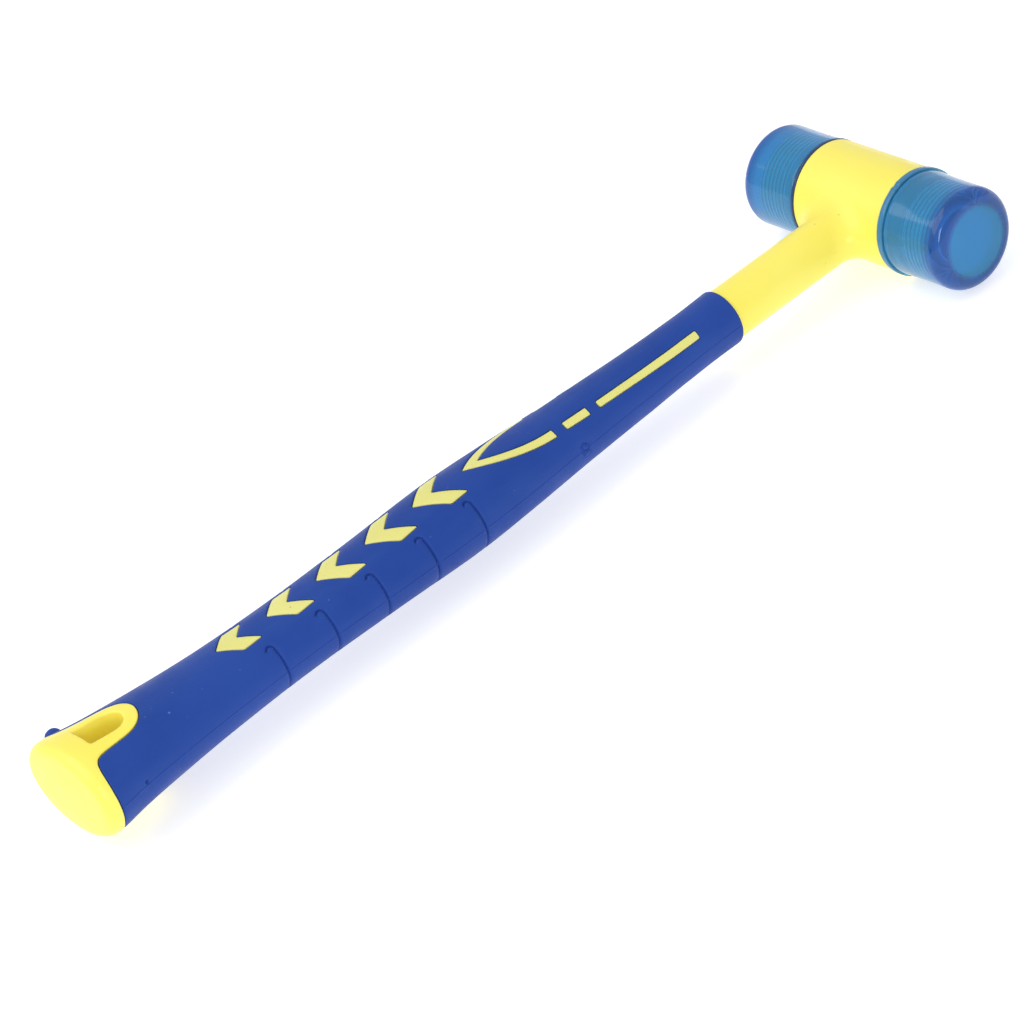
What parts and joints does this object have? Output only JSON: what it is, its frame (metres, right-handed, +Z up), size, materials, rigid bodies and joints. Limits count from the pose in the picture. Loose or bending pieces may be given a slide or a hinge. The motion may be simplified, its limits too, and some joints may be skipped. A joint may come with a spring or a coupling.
{
  "type": "two-way soft-face mallet",
  "caption": "Two-way mallet with screw-on translucent soft faces, one-piece moulded hub and handle, overmoulded grip and a hang slot in the butt.",
  "frame": {"origin": "bottom centre of the overall box, with the mallet lying on its side", "axes": "+X from the butt towards the head, Y along the head axis with the front face towards -Y, +Z up through the hang slot"},
  "size_m": [0.3608, 0.093, 0.036],
  "materials": {
    "body_plastic": "moulded, satin gloss",
    "core_steel": "turned and threaded",
    "rod_fibre": "pultruded glass fibre",
    "grip_rubber": "moulded thermoplastic rubber, matt",
    "washer_plastic": "translucent, smooth",
    "face_plastic": "translucent, smooth"
  },
  "bodies": {
    "root": {"head_body": "body_plastic", "head_core": "core_steel", "handle_rod": "rod_fibre", "grip_sleeve": "grip_rubber"},
    "front_seat": {"front_washer": "washer_plastic"},
    "front_face": {"front_face": "face_plastic"},
    "rear_seat": {"rear_washer": "washer_plastic"},
    "rear_face": {"rear_face": "face_plastic"}
  },
  "joints": [
    {"name": "front_face_advance", "type": "slide", "parent": "root", "child": "front_seat", "axis": [0, -1, 0], "range_m": [0, 0.01312]},
    {"name": "front_face_turn", "type": "hinge", "parent": "front_seat", "child": "front_face", "pos_m": [0.16235, -0.0348, 0.018], "axis": [0, -1, 0], "range_deg": [0, 2700]},
    {"name": "rear_face_advance", "type": "slide", "parent": "root", "child": "rear_seat", "axis": [0, 1, 0], "range_m": [0, 0.01312]},
    {"name": "rear_face_turn", "type": "hinge", "parent": "rear_seat", "child": "rear_face", "pos_m": [0.16235, 0.0338, 0.018], "axis": [0, 1, 0], "range_deg": [0, 2700]}
  ],
  "couplings": [
    {"joint": "front_face_turn", "follows": "front_face_advance", "rad_per_m": 3590.4},
    {"joint": "rear_face_turn", "follows": "rear_face_advance", "rad_per_m": 3590.4}
  ]
}
